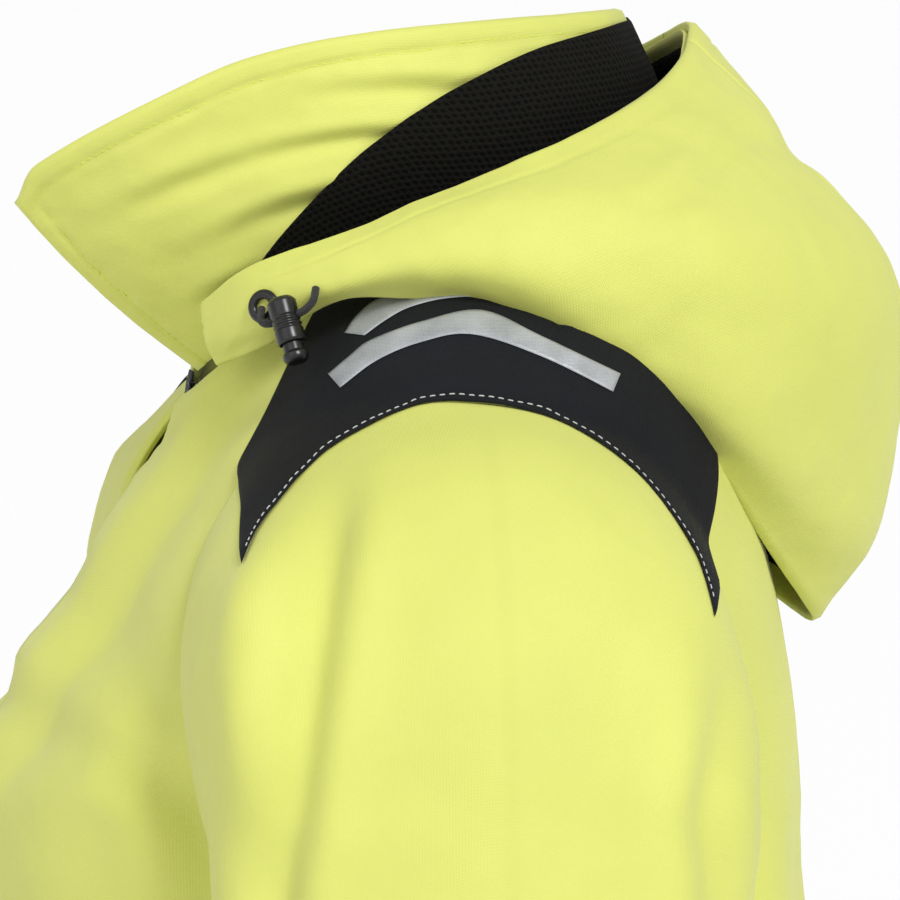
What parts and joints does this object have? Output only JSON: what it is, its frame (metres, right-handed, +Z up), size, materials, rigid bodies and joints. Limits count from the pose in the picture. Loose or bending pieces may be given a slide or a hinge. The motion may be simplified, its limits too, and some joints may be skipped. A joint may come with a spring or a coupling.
{
  "type": "foul weather jacket",
  "caption": "Hooded, padded foul weather jacket shaped as worn: hood folded down behind an open stand collar, contrast shoulder yokes, full zip and adjustable cuffs.",
  "frame": {"origin": "middle of the shoulders inside the neck opening, level with the neck seam at the sides, where the wearer's shoulders carry the jacket", "axes": "+Z up along the body, the wearer faces -Y, +X to the wearer's left"},
  "size_m": [0.6472, 0.39, 0.8948],
  "materials": {
    "shell": "matt coated weave",
    "yoke_fabric": "matt coated weave",
    "reflective_tape": "reflective, satin",
    "rib_knit": "knitted",
    "knit_lining": "open knit",
    "lining": "smooth woven",
    "webbing": "woven tape",
    "elastic_cord": "braided",
    "moulded_plastic": "moulded, semi gloss",
    "zip_metal": "dark coated"
  },
  "bodies": {
    "root": {"front_panel_left": "shell", "front_panel_right": "shell", "back_panel": "shell", "shoulder_yoke_left": "yoke_fabric", "shoulder_yoke_right": "yoke_fabric", "reflective_long_strip_left": "reflective_tape", "reflective_long_strip_right": "reflective_tape", "reflective_short_strip_left": "reflective_tape", "reflective_short_strip_right": "reflective_tape", "body_lining": "lining", "collar_shell": "shell", "collar_lining": "knit_lining", "hood_neck_knit": "knit_lining", "hanger_loop": "webbing", "zip_tape_left": "webbing", "zip_tape_right": "webbing", "zip_box": "moulded_plastic", "inner_storm_flap": "lining", "pocket_left": "shell", "pocket_right": "shell", "hem_eyelet_left": "moulded_plastic", "hem_eyelet_right": "moulded_plastic", "hem_cord_left": "elastic_cord", "hem_cord_right": "elastic_cord", "hem_lock_left": "moulded_plastic", "hem_lock_right": "moulded_plastic"},
    "hood": {"hood_side_left": "shell", "hood_side_right": "shell", "hood_centre": "shell", "hood_brim": "shell", "hood_lining": "knit_lining", "hood_eyelet_left": "moulded_plastic", "hood_eyelet_right": "moulded_plastic", "hood_cord_left": "elastic_cord", "hood_cord_right": "elastic_cord", "hood_lock_left": "moulded_plastic", "hood_lock_right": "moulded_plastic"},
    "zip_slider": {"zip_slider": "zip_metal"},
    "zip_puller": {"zip_puller": "moulded_plastic"},
    "upper_sleeve_left": {"upper_sleeve_left": "shell"},
    "forearm_left": {"forearm_sleeve_left": "shell", "cuff_binding_left": "yoke_fabric", "storm_cuff_left": "rib_knit"},
    "cuff_tab_left": {"cuff_tab_left": "yoke_fabric"},
    "pocket_flap_left": {"pocket_flap_left": "yoke_fabric"},
    "hood_lock_plunger_left": {"hood_lock_plunger_left": "moulded_plastic"},
    "hem_lock_plunger_left": {"hem_lock_plunger_left": "moulded_plastic"},
    "upper_sleeve_right": {"upper_sleeve_right": "shell"},
    "forearm_right": {"forearm_sleeve_right": "shell", "cuff_binding_right": "yoke_fabric", "storm_cuff_right": "rib_knit"},
    "cuff_tab_right": {"cuff_tab_right": "yoke_fabric"},
    "pocket_flap_right": {"pocket_flap_right": "yoke_fabric"},
    "hood_lock_plunger_right": {"hood_lock_plunger_right": "moulded_plastic"},
    "hem_lock_plunger_right": {"hem_lock_plunger_right": "moulded_plastic"}
  },
  "joints": [
    {"name": "hood_fold", "type": "hinge", "parent": "root", "child": "hood", "pos_m": [0, -0.092, 0], "axis": [1, 0, 0], "range_deg": [0, 65]},
    {"name": "zip_slide", "type": "slide", "parent": "root", "child": "zip_slider", "axis": [0, 0, -1], "range_m": [0, 0.535]},
    {"name": "zip_puller_swing", "type": "hinge", "parent": "zip_slider", "child": "zip_puller", "pos_m": [0, -0.188, -0.2115], "axis": [-1, 0, 0], "range_deg": [0, 150]},
    {"name": "shoulder_lift_left", "type": "hinge", "parent": "root", "child": "upper_sleeve_left", "pos_m": [0.17, -0.006, -0.024], "axis": [0, -1, 0], "range_deg": [0, 70]},
    {"name": "elbow_bend_left", "type": "hinge", "parent": "upper_sleeve_left", "child": "forearm_left", "pos_m": [0.27, -0.0945, -0.47], "axis": [-1, 0, 0], "range_deg": [0, 75]},
    {"name": "cuff_tab_open_left", "type": "hinge", "parent": "forearm_left", "child": "cuff_tab_left", "pos_m": [0.29152, 0.03024, -0.63332], "axis": [-0.0312, 0.2429, 0.9695], "range_deg": [0, 95]},
    {"name": "pocket_flap_lift_left", "type": "hinge", "parent": "root", "child": "pocket_flap_left", "pos_m": [0.11177, -0.16557, -0.494], "axis": [-0.8919, -0.4523, 0], "range_deg": [0, 140]},
    {"name": "hood_lock_press_left", "type": "slide", "parent": "hood", "child": "hood_lock_plunger_left", "axis": [-0.3162, -0.1984, 0.9277], "range_m": [0, 0.0035], "stiffness_N_per_m": 300},
    {"name": "hem_lock_press_left", "type": "slide", "parent": "root", "child": "hem_lock_plunger_left", "axis": [-0.0387, 0.0142, 0.9992], "range_m": [0, 0.0035], "stiffness_N_per_m": 300},
    {"name": "shoulder_lift_right", "type": "hinge", "parent": "root", "child": "upper_sleeve_right", "pos_m": [-0.17, -0.006, -0.024], "axis": [0, 1, 0], "range_deg": [0, 70]},
    {"name": "elbow_bend_right", "type": "hinge", "parent": "upper_sleeve_right", "child": "forearm_right", "pos_m": [-0.27, -0.0945, -0.47], "axis": [-1, 0, 0], "range_deg": [0, 75]},
    {"name": "cuff_tab_open_right", "type": "hinge", "parent": "forearm_right", "child": "cuff_tab_right", "pos_m": [-0.29152, 0.03024, -0.63332], "axis": [-0.0312, -0.2429, -0.9695], "range_deg": [0, 95]},
    {"name": "pocket_flap_lift_right", "type": "hinge", "parent": "root", "child": "pocket_flap_right", "pos_m": [-0.11177, -0.16557, -0.494], "axis": [-0.8919, 0.4523, 0], "range_deg": [0, 140]},
    {"name": "hood_lock_press_right", "type": "slide", "parent": "hood", "child": "hood_lock_plunger_right", "axis": [0.3162, -0.1984, 0.9277], "range_m": [0, 0.0035], "stiffness_N_per_m": 300},
    {"name": "hem_lock_press_right", "type": "slide", "parent": "root", "child": "hem_lock_plunger_right", "axis": [0.0387, 0.0142, 0.9992], "range_m": [0, 0.0035], "stiffness_N_per_m": 300}
  ]
}
